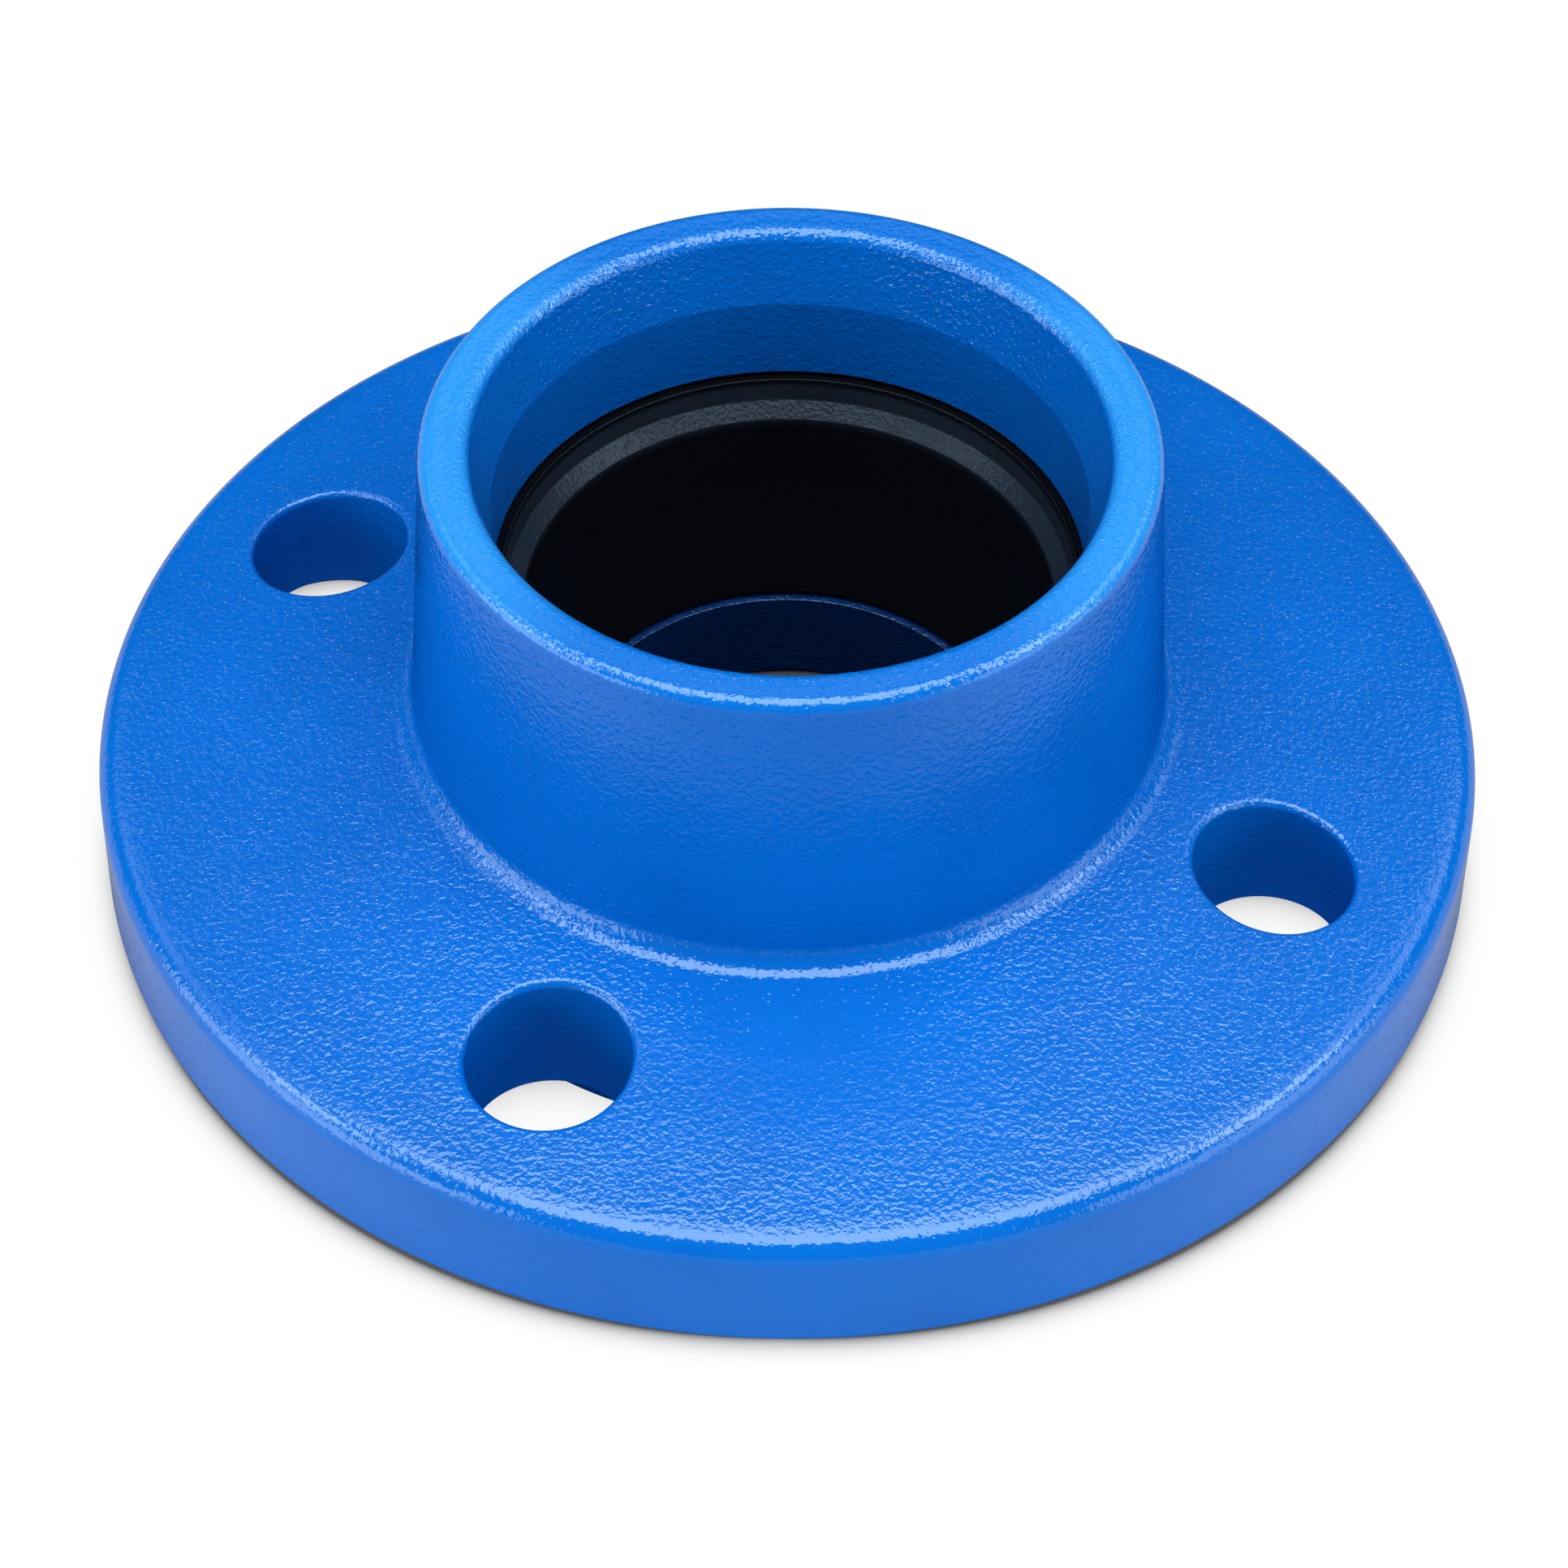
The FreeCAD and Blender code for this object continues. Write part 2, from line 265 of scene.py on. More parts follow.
@dataclass
class FlangeCasting(TurnedPiece):
    """The drilled flange and its socket, in one casting, with its four bolt holes.

    Lengths are in mm. A window is the stretch of radius that a bolt hole takes out of a face, no
    more than window_reach from its axis, and mid_height lies between the flange's front and back.
    """

    name: str = "flange_casting"
    turn: float = 65.0
    outer_radius: float = 82.5
    rim_top: float = 18.5
    back_slope: float = math.radians(8.5)
    draft: float = math.radians(3.4)
    neck_top_radius: float = 42.5
    mouth_height: float = 63.0
    step_height: float = 3.0
    step_radius: float = 49.5
    waterway_radius: float = 26.0
    ledge_height: float = 12.9
    lead_in_radius: float = 37.0
    land_radius: float = 34.5
    land_top: float = 53.9
    groove_radius: float = 38.0
    groove_bottom: float = 24.0
    groove_top: float = 43.0
    bolt_circle: float = 62.5
    hole_radius: float = 9.5
    hole_chamfer: float = 3.0
    hole_round: float = 0.9
    hole_round_steps: int = 7
    hole_count: int = 4
    mid_height: float = 10.0
    window_steps: int = 20
    window_rings: int = 12
    window_reach: float = 24.0
    back_window: Span = (48.8, 76.2)
    front_window: Span = (49.75, 77.0)

    def __post_init__(self) -> None:
        """Lay out the casting's section, with extra rings where the bolt holes go."""
        rise, flare = math.tan(self.back_slope), math.tan(self.draft)
        drop = self.mouth_height - self.rim_top - rise * self.outer_radius
        foot = (self.neck_top_radius + flare * drop) / (1 - flare * rise)
        front = [Corner(r, self.step_height) for r in self.window(self.front_window)]
        back = [Corner(r, self.back_height(r)) for r in reversed(self.window(self.back_window))]
        self.corners = [
            Corner(self.waterway_radius, 0.0, 0.8, 2),
            Corner(self.step_radius, 0.0, 0.6, 4),
            Corner(self.step_radius, self.step_height, 0.1, 1),
            *front,
            Corner(self.outer_radius, self.step_height, 1.0, 5),
            Corner(self.outer_radius, self.rim_top, 3.0, 12),
            *back,
            Corner(foot, self.back_height(foot), 3.0, 10),
            Corner(self.neck_top_radius, self.mouth_height, 1.7, 8),
            Corner(self.lead_in_radius, self.mouth_height, 2.0, 10),
            Corner(self.land_radius, self.land_top, 0.7, 3),
            Corner(self.land_radius, self.groove_top, 0.3, 3),
            Corner(self.groove_radius, self.groove_top, 0.3, 2),
            Corner(self.groove_radius, self.groove_bottom, 0.3, 2),
            Corner(self.land_radius, self.groove_bottom, 0.3, 2),
            Corner(self.land_radius, self.ledge_height, 0.6, 3),
            Corner(self.waterway_radius, self.ledge_height, 0.15, 2),
        ]

    def window(self, span: Span) -> list[float]:
        """Return the radii of the rings across a bolt hole's window, in mm."""
        low, high = span
        return [low + (high - low) * k / self.window_rings for k in range(self.window_rings + 1)]

    def back_height(self, radius: float) -> float:
        """Return the height of the flange's sloping back at a radius, both in mm."""
        return self.rim_top + math.tan(self.back_slope) * (self.outer_radius - radius)

    def hole_angle(self, index: int) -> float:
        """Return the angle in radians at which a bolt hole stands."""
        return math.radians(self.turn + 360 * index / self.hole_count)

    def hole_axis(self, index: int) -> Vector:
        """Return the foot of a bolt hole's axis in metres."""
        angle = self.hole_angle(index)
        return Vector((math.cos(angle), math.sin(angle), 0)) * self.bolt_circle * MM

    def hole_segments(self) -> int:
        """Return the number of edges round a bolt hole, as many as round its window."""
        return 2 * (self.window_steps + self.window_rings)

    def open_windows(self) -> None:
        """Delete the faces that the bolt holes take out of the back and the front."""
        reach = self.window_steps / 2 * 2 * math.pi / self.segments
        axes = [self.hole_axis(index) for index in range(self.hole_count)]

        def in_window(face: bmesh.types.BMFace) -> bool:
            """Tell whether a face lies in a bolt hole's window."""
            centre = face.calc_center_median()
            up = face.normal.z > LEVEL and centre.z > self.mid_height * MM
            span = self.back_window if up else self.front_window
            if not up and abs(centre.z - self.step_height * MM) > NEAR:
                return False
            if not span[0] * MM < radial(centre) < span[1] * MM:
                return False
            flat = Vector((centre.x, centre.y, 0))
            return any(flat.angle(axis) < reach for axis in axes)

        log.info("%s: %d faces make way for the holes", self.name, self.pick_faces(in_window))
        bpy.ops.mesh.delete(type="FACE")
        bpy.ops.mesh.select_mode(type="EDGE")

    def join_loops(self, axis: Vector, upper: bool) -> None:
        """Bridge the two open loops round a bolt hole, on the flange's front or on its back.

        Args:
            axis: Foot of the hole's axis.
            upper: Whether the loops on the back are meant.
        """
        found = self.pick_edges(
            lambda p: (p - axis).to_2d().length < self.window_reach * MM
            and (p.z > self.mid_height * MM) == upper,
            open_only=True,
        )
        wanted = 2 * self.hole_segments()
        if found != wanted:
            raise RuntimeError(f"found {found} open edges round a hole and not {wanted}")
        bpy.ops.mesh.bridge_edge_loops()

    def drill(self, index: int) -> None:
        """Join a circle into the front, and raise it as the hole's chamfer and wall to the back.

        Args:
            index: Number of the hole.
        """
        axis = self.hole_axis(index)
        wide = (self.hole_radius + self.hole_chamfer) * MM
        narrow = self.hole_radius * MM
        bpy.ops.mesh.select_all(action="DESELECT")
        bpy.ops.mesh.primitive_circle_add(
            vertices=self.hole_segments(), radius=wide, fill_type="NOTHING",
            location=(axis.x, axis.y, self.step_height * MM),
            rotation=(0, 0, self.hole_angle(index)),
        )
        self.join_loops(axis, upper=False)
        self.pick_edges(
            lambda p: abs((p - axis).to_2d().length - wide) < NEAR and p.z < self.mid_height * MM,
            open_only=True,
        )
        self.step_ring(self.hole_chamfer * MM, narrow / wide)
        self.step_ring((self.rim_top - self.step_height) * MM, 1.0)
        for vert in self.mesh().verts:
            if vert.select:
                vert.co.z = self.back_height(radial(vert.co) / MM) * MM
        bmesh.update_edit_mesh(self.piece.data)
        self.join_loops(axis, upper=True)

    def round_hole_rims(self) -> None:
        """Round the upper edges of the bolt holes."""
        axes = [self.hole_axis(index) for index in range(self.hole_count)]

        def on_rim(point: Vector) -> bool:
            """Tell whether a point lies on the upper edge of a bolt hole."""
            on_wall = any(
                abs((point - axis).to_2d().length - self.hole_radius * MM) < NEAR for axis in axes
            )
            return on_wall and point.z > self.mid_height * MM

        log.info("%s: %d rim edges of holes rounded", self.name, self.pick_edges(on_rim))
        self.round_edges(self.hole_round, self.hole_round_steps)

    def build(self) -> bpy.types.Object:
        """Model the casting.

        Returns:
            The finished mesh.
        """
        self.raise_section()
        self.open_windows()
        for index in range(self.hole_count):
            self.drill(index)
        bpy.ops.mesh.select_all(action="SELECT")
        bpy.ops.mesh.normals_make_consistent(inside=False)
        self.round_hole_rims()
        self.round_corners()
        return self.close(smooth_angle=35)


@dataclass
class LipSeal(TurnedPiece):
    """The moulded rubber ring in the socket's groove, with its lead-in and hanging lip.

    Lengths are in mm, and each spot is a radius and a height.
    """

    name: str = "lip_seal"
    segments: int = 224
    outer_radius: float = 37.85
    bottom: float = 24.0
    top: float = 42.4
    crest_foot: Spot = (34.9, 42.4)
    crest_back: Spot = (34.0, 42.5)
    crest: Spot = (33.5, 43.0)
    upper_facet_end: Spot = (33.1, 39.9)
    lower_facet_end: Spot = (31.2, 38.3)
    lip_bend: Spot = (30.4, 26.5)
    lip_inside: Spot = (26.6, 13.5)
    lip_outside: Spot = (28.5, 13.5)
    lip_root: Spot = (33.5, 28.6)
    foot_radius: float = 36.25

    def __post_init__(self) -> None:
        """Lay out the seal's section."""
        self.corners = [
            Corner(self.outer_radius, self.bottom, 0.3, 2),
            Corner(self.outer_radius, self.top, 0.3, 2),
            Corner(*self.crest_foot, 0.15, 2),
            Corner(*self.crest_back, 0.15, 3),
            Corner(*self.crest, 0.22, 6),
            Corner(*self.upper_facet_end, 0.25, 4),
            Corner(*self.lower_facet_end, 0.25, 5),
            Corner(*self.lip_bend, 26.0, 12),
            Corner(*self.lip_inside, 0.25, 4),
            Corner(*self.lip_outside, 0.25, 4),
            Corner(*self.lip_root, 1.0, 4),
            Corner(self.foot_radius, self.bottom, 0.3, 2),
        ]

    def build(self) -> bpy.types.Object:
        """Model the seal.

        Returns:
            The finished mesh.
        """
        self.raise_section()
        self.round_corners()
        return self.close(smooth_angle=60)


class NodeBench:
    """A node tree that is filled node by node, with inputs set or wired by name."""

    def __init__(self, tree: bpy.types.NodeTree) -> None:
        """Take an empty tree to fill."""
        self.tree = tree

    @classmethod
    def of(cls, owner: bpy.types.Material | bpy.types.World) -> "NodeBench":
        """Turn on the nodes of a material or a world and start without any.

        Args:
            owner: The material or the world.

        Returns:
            The bench for its node tree.
        """
        owner.use_nodes = True
        owner.node_tree.nodes.clear()
        return cls(owner.node_tree)

    def add(self, kind: str, settings: dict | None = None, **inputs: object) -> Node:
        """Add a node.

        Args:
            kind: The node's type.
            settings: Properties of the node itself.
            **inputs: Socket values or output sockets, with _ for a space in a socket's name.

        Returns:
            The new node.
        """
        node = self.tree.nodes.new(kind)
        for key, value in (settings or {}).items():
            setattr(node, key, value)
        for key, value in inputs.items():
            self.put(node, key.replace("_", " "), value)
        return node

    def put(self, node: Node, key: str | int, value: object) -> None:
        """Set one of a node's inputs, or wire it to an output socket.

        Args:
            node: The node.
            key: The input's name or number.
            value: A value of the input's kind, or an output socket.
        """
        socket = node.inputs[key]
        if isinstance(value, bpy.types.NodeSocket):
            self.tree.links.new(value, socket)
        else:
            socket.default_value = value

    def math(self, operation: str, *terms: object, clamp: bool = False) -> Socket:
        """Add a Math node.

        Args:
            operation: The operation's name.
            *terms: Numbers or output sockets.
            clamp: Whether the result is held between 0 and 1.

        Returns:
            The result's socket.
        """
        node = self.add("ShaderNodeMath", {"operation": operation, "use_clamp": clamp})
        for index, term in enumerate(terms):
            self.put(node, index, term)
        return node.outputs[0]

    def times(self, *terms: object) -> Socket:
        """Multiply numbers or output sockets, from the first to the last."""
        return reduce(lambda product, term: self.math("MULTIPLY", product, term), terms)

    def plus(self, *terms: object) -> Socket:
        """Add numbers or output sockets, from the first to the last."""
        return reduce(lambda total, term: self.math("ADD", total, term), terms)

    def minus(self, first: object, second: object) -> Socket:
        """Take the second number or output socket from the first."""
        return self.math("SUBTRACT", first, second)

    def larger(self, first: object, second: object) -> Socket:
        """Return the larger of two numbers or output sockets."""
        return self.math("MAXIMUM", first, second)

    def hypot(self, first: object, second: object) -> Socket:
        """Return the length of a vector from its two parts."""
        return self.math("SQRT", self.plus(self.times(first, first), self.times(second, second)))

    def decay(self, value: object, reach: float) -> Socket:
        """Return a share that is 1 at 0 and falls by a factor e with each reach."""
        return self.math("EXPONENT", self.times(value, -1 / reach))

    def vector(self, operation: str, *terms: object) -> Socket:
        """Add a Vector Math node.

        Args:
            operation: The operation's name.
            *terms: Vectors or output sockets.

        Returns:
            The result's socket, a number for a length or a dot product and otherwise a vector.
        """
        node = self.add("ShaderNodeVectorMath", {"operation": operation})
        for index, term in enumerate(terms):
            self.put(node, index, term)
        return node.outputs["Value" if operation in ("LENGTH", "DOT_PRODUCT") else "Vector"]

    def parts(self, vector: Socket) -> Sockets:
        """Return a vector's X, Y and Z sockets."""
        return self.add("ShaderNodeSeparateXYZ", Vector=vector).outputs

    def place(self) -> Socket:
        """Return the shaded point's place on its piece, in metres."""
        return self.add("ShaderNodeTexCoord").outputs["Object"]

    def way(self) -> Sockets:
        """Return the X, Y and Z sockets of the direction into the room."""
        return self.parts(self.add("ShaderNodeTexCoord").outputs["Generated"])

    def span(self, value: object, limits: Span, results: tuple[object, object] = RISE) -> Socket:
        """Map a value from one stretch onto another, smoothly and held at both ends.

        Args:
            value: The number or output socket.
            limits: Where the value's stretch starts and ends.
            results: What is given at its start and at its end.

        Returns:
            The result's socket.
        """
        node = self.add("ShaderNodeMapRange", {"interpolation_type": "SMOOTHSTEP"}, Value=value,
                        From_Min=limits[0], From_Max=limits[1], To_Min=results[0],
                        To_Max=results[1])
        return node.outputs["Result"]

    def blend(self, share: object, first: object, second: object) -> Socket:
        """Mix two colours. A Mix node has several sockets of each name, so they go by number.

        Args:
            share: The second colour's share.
            first: The first colour.
            second: The second colour.

        Returns:
            The result's socket.
        """
        node = self.add("ShaderNodeMix", {"data_type": "RGBA"})
        for number, value in ((0, share), (6, first), (7, second)):
            self.put(node, number, value)
        return node.outputs[2]

    def choose(self, share: Socket, first: Node, second: Node) -> Node:
        """Mix two shaders.

        Args:
            share: The second shader's share.
            first: The first shader.
            second: The second shader.

        Returns:
            The mixing node.
        """
        node = self.add("ShaderNodeMixShader", Fac=share)
        self.put(node, 1, first.outputs[0])
        self.put(node, 2, second.outputs[0])
        return node

    def rays(self, *kinds: Rays) -> Socket:
        """Return a socket that is 1 for the given kinds of ray and 0 for others."""
        path = self.add("ShaderNodeLightPath")
        return reduce(self.larger, [path.outputs[kind.value] for kind in kinds])


def opaque(colour: Colour) -> tuple[float, float, float, float]:
    """Return a colour with full alpha."""
    return (*colour, 1.0)


def grey(level: float) -> tuple[float, float, float, float]:
    """Return a grey with full alpha."""
    return opaque((level, level, level))


def metres(span: Span) -> Span:
    """Return a stretch in metres from one in mm."""
    return span[0] * MM, span[1] * MM


def radians(span: Span) -> Span:
    """Return a stretch in radians from one in degrees."""
    return math.radians(span[0]), math.radians(span[1])


@dataclass(frozen=True)
class FilmRelief:
    """The relief that a sprayed or moulded skin has: fine peel, steep nibs and a slow swell.

    Each scale is a number of grains to the metre, and the value after it is how high they stand
    as a share of the finish's relief height.
    """

    group_name: ClassVar[str] = "film_relief"
    patch_scale: ClassVar[float] = 38.0
    nib_foot: ClassVar[Span] = (0.0, 0.30)
    nib_choice: ClassVar[Span] = (0.0, 0.5)
    nib_sizes: ClassVar[Span] = (0.5, 1.0)

    peel_scale: float
    peel: float
    nib_scale: float
    nib: float
    swell_scale: float
    swell: float

    @classmethod
    def group(cls) -> bpy.types.NodeTree:
        """Build the node group that all reliefs share, or return it if it is there.

        Returns:
            The node group, which gives a Height for a Bump node and a mask of Patches.
        """
        if cls.group_name in bpy.data.node_groups:
            return bpy.data.node_groups[cls.group_name]
        tree = bpy.data.node_groups.new(cls.group_name, "ShaderNodeTree")
        tree.interface.new_socket("Vector", in_out="INPUT", socket_type="NodeSocketVector")
        for key in ("Peel Scale", "Peel", "Nib Scale", "Nib", "Swell Scale", "Swell"):
            tree.interface.new_socket(key, in_out="INPUT", socket_type="NodeSocketFloat")
        for key in ("Height", "Patches"):
            tree.interface.new_socket(key, in_out="OUTPUT", socket_type="NodeSocketFloat")
        bench = NodeBench(tree)
        given = bench.add("NodeGroupInput").outputs
        place = given["Vector"]
        peel = bench.add("ShaderNodeTexNoise", Vector=place, Scale=given["Peel Scale"],
                         Detail=1.5, Roughness=0.5, Distortion=0.3).outputs[0]
        cells = bench.add("ShaderNodeTexVoronoi", Vector=place, Scale=given["Nib Scale"]).outputs
        chance = bench.add("ShaderNodeSeparateColor", Color=cells["Color"]).outputs[0]
        nibs = bench.times(bench.span(cells["Distance"], cls.nib_foot, FALL),
                           bench.span(chance, cls.nib_choice, cls.nib_sizes))
        swell = bench.add("ShaderNodeTexNoise", Vector=place, Scale=given["Swell Scale"],
                          Detail=2.0, Roughness=0.5).outputs[0]
        patches = bench.add("ShaderNodeTexNoise", Vector=place, Scale=cls.patch_scale,
                            Detail=2.0, Roughness=0.55).outputs[0]
        height = bench.plus(bench.times(peel, given["Peel"]), bench.times(nibs, given["Nib"]),
                            bench.times(swell, given["Swell"]))
        bench.add("NodeGroupOutput", Height=height, Patches=patches)
        return tree

    def add_to(self, bench: NodeBench, place: Socket) -> Sockets:
        """Add the relief to a material and return its sockets, Height and Patches."""
        return bench.add("ShaderNodeGroup", {"node_tree": self.group()}, Vector=place,
                         Peel_Scale=self.peel_scale, Peel=self.peel, Nib_Scale=self.nib_scale,
                         Nib=self.nib, Swell_Scale=self.swell_scale, Swell=self.swell).outputs


@dataclass(frozen=True)
class Finish:
    """What the finishes have in common: a relief, and how they reflect.

    Patches are the stretch of the relief's mask over which a finish turns from one look to the
    other, and the relief's height is in metres.
    """

    name: str
    gleam: Colour
    gloss: float
    relief: FilmRelief
    relief_height: float
    refraction: float = 1.5
    patches: Span = (0.3, 0.7)

    def start(self) -> tuple[bpy.types.Material, NodeBench]:
        """Make the material, still without nodes, and the bench for its node tree."""
        made = bpy.data.materials.new(self.name)
        return made, NodeBench.of(made)

    def shade(self, bench: NodeBench, height: Socket, **looks: object) -> None:
        """Finish a material with one shader.

        Args:
            bench: The material's node tree.
            height: The relief's height.
            **looks: The shader's colour, roughness and the like.
        """
        bump = bench.add("ShaderNodeBump", Strength=1.0, Distance=self.relief_height,
                         Height=height)
        shader = bench.add("ShaderNodeBsdfPrincipled", IOR=self.refraction,
                           Specular_IOR_Level=self.gloss, Specular_Tint=opaque(self.gleam),
                           Normal=bump.outputs["Normal"], **looks)
        bench.add("ShaderNodeOutputMaterial", Surface=shader.outputs[0])


@dataclass(frozen=True)
class EpoxyCoating(Finish):
    """Glossy blue epoxy powder, fused onto the iron with a fine orange peel.

    Lengths are in metres. A pair is the stretch over which one look turns into the next.
    """

    name: str = "blue_epoxy_coating"
    blue: Colour = (0.0006, 0.149, 0.645)
    deep_blue: Colour = (0.0004, 0.132, 0.585)
    # Painted light: the mouth's top face is paler, and paler still and more cyan on its left and
    # right sides, where side light falls.
    mouth_blue: Colour = (0.0015, 0.162, 0.66)
    mouth_side_painted_light: Colour = (0.0200, 0.290, 0.84)
    # Painted shade: the waterway and the ledge under the seal are coloured near black blue, as deep
    # shade.
    waterway_painted_shade: Colour = (0.0004, 0.030, 0.150)
    gleam: Colour = (0.76, 1.0, 0.97)
    gloss: float = 1.0
    patch_roughness: Span = (0.1265, 0.0935)
    mouth_painted_light_sides: Span = (0.5, 0.95)
    mouth_tint_heights: Span = (0.0616, 0.0628)
    waterway_radii: Span = (0.0263, 0.0272)
    waterway_roughness: float = 0.3
    seal_shade_heights: Span = (0.008, 0.011)
    seal_shade: float = 0.004
    relief: FilmRelief = FilmRelief(1400.0, 1.2, 1300.0, 0.6, 95.0, 1.2)
    relief_height: float = 0.00015
    mouth_relief_heights: Span = (0.0614, 0.0624)
    mouth_relief: float = 1.2
    rim_radii: Span = (0.0785, 0.0805)
    rim_relief: float = 0.5
    neck_heights: Span = (0.026, 0.034)
    neck_radii: Span = (0.0375, 0.0400)
    neck_ripple: float = -0.45
    flow_spot: Place = (0.003, -0.057, 0.020)
    flow_reach: Place = (0.027, 0.018, 0.014)
    flow_calm: float = 0.92

    def outside(self, bench: NodeBench, height: Socket, radius: Socket) -> Socket:
        """Tell the waterway, which gets a painted shade, from the rest, with the ledge in the seal's
        shade counted in.

        Args:
            bench: The coating's node tree.
            height: The point's height.
            radius: The point's distance from the socket's axis.

        Returns:
            A share, 0 in the waterway and 1 outside it.
        """
        shade = bench.span(height, self.seal_shade_heights, (0.0, self.seal_shade))
        return bench.span(bench.minus(radius, shade), self.waterway_radii)

    def colour(self, bench: NodeBench, height: Socket, side: Socket, patches: Socket) -> Socket:
        """Work out the colour outside the waterway, which is paler on the socket's mouth, as painted
        light that grows towards its left and right sides.

        Args:
            bench: The coating's node tree.
            height: The point's height.
            side: How far the point lies to the side of the socket's axis, from 0 to 1.
            patches: The relief's patches.

        Returns:
            The colour.
        """
        body = bench.blend(bench.span(patches, self.patches), opaque(self.deep_blue),
                           opaque(self.blue))
        # Painted light on the mouth's top face, paler towards its left and right sides.
        mouth = bench.blend(bench.span(side, self.mouth_painted_light_sides), opaque(self.mouth_blue),
                            opaque(self.mouth_side_painted_light))
        return bench.blend(bench.span(height, self.mouth_tint_heights), body, mouth)

    def calm(self, bench: NodeBench, place: Socket) -> Socket:
        """Work out how far the relief shows, which is less where the powder flowed together.

        Args:
            bench: The coating's node tree.
            place: The point on the piece.

        Returns:
            The relief's share, low in front of the neck and 1 elsewhere.
        """
        away = bench.vector("SUBTRACT", place, self.flow_spot)
        scaled = bench.vector("DIVIDE", away, self.flow_reach)
        near = bench.decay(bench.vector("DOT_PRODUCT", scaled, scaled), 1.0)
        return bench.minus(1.0, bench.times(near, self.flow_calm))

    def relief_share(self, bench: NodeBench, place: Socket, height: Socket,
                     radius: Socket) -> Socket:
        """Work out how far the relief shows at a point.

        Args:
            bench: The coating's node tree.
            place: The point on the piece.
            height: The point's height.
            radius: The point's distance from the socket's axis.

        Returns:
            The relief's share, more than 1 on the mouth and less on the rim's edge and the neck.
        """
        mouth = bench.span(height, self.mouth_relief_heights, (1.0, self.mouth_relief))
        rim = bench.span(radius, self.rim_radii, (1.0, self.rim_relief))
        on_neck = bench.times(bench.span(height, self.neck_heights),
                              bench.span(radius, self.neck_radii))
        neck = bench.plus(bench.times(on_neck, self.neck_ripple), 1.0)
        return bench.times(self.calm(bench, place), mouth, rim, neck)

    def material(self) -> bpy.types.Material:
        """Build the coating, which is dull metal to a reflected ray, so that no haze builds up.

        Returns:
            The material.
        """
        made, bench = self.start()
        place = bench.place()
        parts = bench.parts(place)
        height = parts["Z"]
        radius = bench.hypot(parts["X"], parts["Y"])
        side = bench.math("DIVIDE", bench.math("ABSOLUTE", parts["X"]), radius)
        relief = self.relief.add_to(bench, place)
        outside = self.outside(bench, height, radius)
        # Painted shade in the waterway and on the ledge under the seal.
        colour = bench.blend(outside, opaque(self.waterway_painted_shade),
                             self.colour(bench, height, side, relief["Patches"]))
        mirrored = bench.rays(Rays.GLOSSY)
        dull = bench.times(bench.minus(1.0, outside), self.waterway_roughness)
        rough = bench.larger(bench.span(relief["Patches"], self.patches, self.patch_roughness),
                             bench.larger(mirrored, dull))
        share = self.relief_share(bench, place, height, radius)
        self.shade(bench, bench.times(relief["Height"], share), Base_Color=colour,
                   Roughness=rough, Metallic=mirrored)
        return made


@dataclass(frozen=True)
class MouldedRubber(Finish):
    """Black moulded rubber, with painted light on the seal's lead-in: its facets are lighter and
    bluish as if lit, and the crest stays black in the land's shade.

    Lengths are in metres. A pair is the stretch over which one look turns into the next.
    """

    name: str = "black_moulded_rubber"
    black: Colour = (0.0042, 0.0056, 0.0085)
    # Painted light: the lead-in facets' lighter, bluish colour, which varies in patches.
    lead_in_painted_light: Colour = (0.0165, 0.0260, 0.0410)
    gleam: Colour = (0.62, 0.80, 1.0)
    gloss: float = 0.25
    patch_roughness: Span = (0.2125, 0.3)
    painted_light_bottom: Span = (0.0370, 0.0388)
    painted_light_top: Span = (0.0417, 0.0424)
    painted_light_patches: Span = (0.2, 0.7)
    painted_light_shares: Span = (0.6, 1.0)
    relief: FilmRelief = FilmRelief(1900.0, 0.9, 1500.0, 0.6, 160.0, 0.8)
    relief_height: float = 0.00010

    def material(self) -> bpy.types.Material:
        """Build the rubber.

        Returns:
            The material.
        """
        made, bench = self.start()
        place = bench.place()
        height = bench.parts(place)["Z"]
        relief = self.relief.add_to(bench, place)
        # Painted light on the lead-in facets, which stops below the crest as painted shade under the
        # land.
        painted_lit = bench.times(bench.span(height, self.painted_light_bottom),
                              bench.span(height, self.painted_light_top, FALL))
        patchy = bench.span(relief["Patches"], self.painted_light_patches, self.painted_light_shares)
        colour = bench.blend(bench.times(painted_lit, patchy), opaque(self.black), opaque(self.lead_in_painted_light))
        rough = bench.span(relief["Patches"], self.patches, self.patch_roughness)
        self.shade(bench, relief["Height"], Base_Color=colour, Roughness=rough)
        return made


@dataclass(frozen=True)
class Lamp:
    """A soft studio lamp that faces the object from a direction.

    Azimuth is in degrees from +X towards +Y, elevation in degrees above the floor. Width runs
    sideways and length up, in metres. Brightness is the radiance that a reflection of it shows.
    """

    name: str
    azimuth: float
    elevation: float
    distance: float
    width: float
    length: float
    brightness: float

    def place(self, target: Vector) -> None:
        """Hang the lamp.

        Args:
            target: The point that it faces.
        """
        az, el = math.radians(self.azimuth), math.radians(self.elevation)
        away = Vector((math.cos(el) * math.cos(az), math.cos(el) * math.sin(az), math.sin(el)))
        data = bpy.data.lights.new(self.name, "AREA")
        data.shape = "RECTANGLE"
        data.size = self.width
        data.size_y = self.length
        data.energy = self.brightness * math.pi * self.width * self.length
        lamp = bpy.data.objects.new(self.name, data)
        lamp.location = target + away * self.distance
        lamp.rotation_mode = "QUATERNION"
        lamp.rotation_quaternion = away.to_track_quat("Z", "Y")
        bpy.context.scene.collection.objects.link(lamp)


